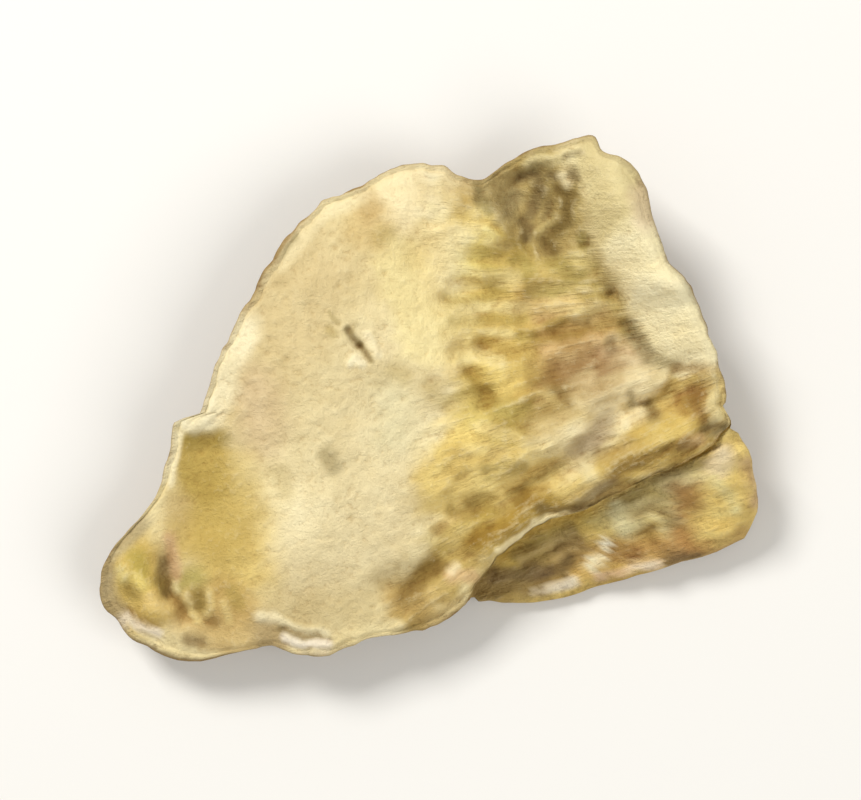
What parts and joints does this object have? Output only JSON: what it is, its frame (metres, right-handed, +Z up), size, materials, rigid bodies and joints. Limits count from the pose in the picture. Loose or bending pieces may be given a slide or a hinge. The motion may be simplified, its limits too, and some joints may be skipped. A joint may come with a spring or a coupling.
{
  "type": "dried chicory root slice",
  "caption": "Thin, slightly curled slice of dried chicory root, cut face up, with a raised pale rim, a split lip and a lobe of bark below it, and wrinkled skin underneath.",
  "frame": {"origin": "middle of the slice's box, on the surface that the slice rests on", "axes": "+X the long way of the slice, from its lumpy tip to its split lobe; +Y towards its narrow end with the bark hollow; +Z up, out of the cut face"},
  "size_m": [0.0302, 0.024, 0.0059],
  "materials": {
    "dried_root_flesh": "matt, straw coloured, with brown wrinkled skin underneath"
  },
  "bodies": {
    "root": {"chicory_root_slice": "dried_root_flesh"}
  },
  "joints": []
}
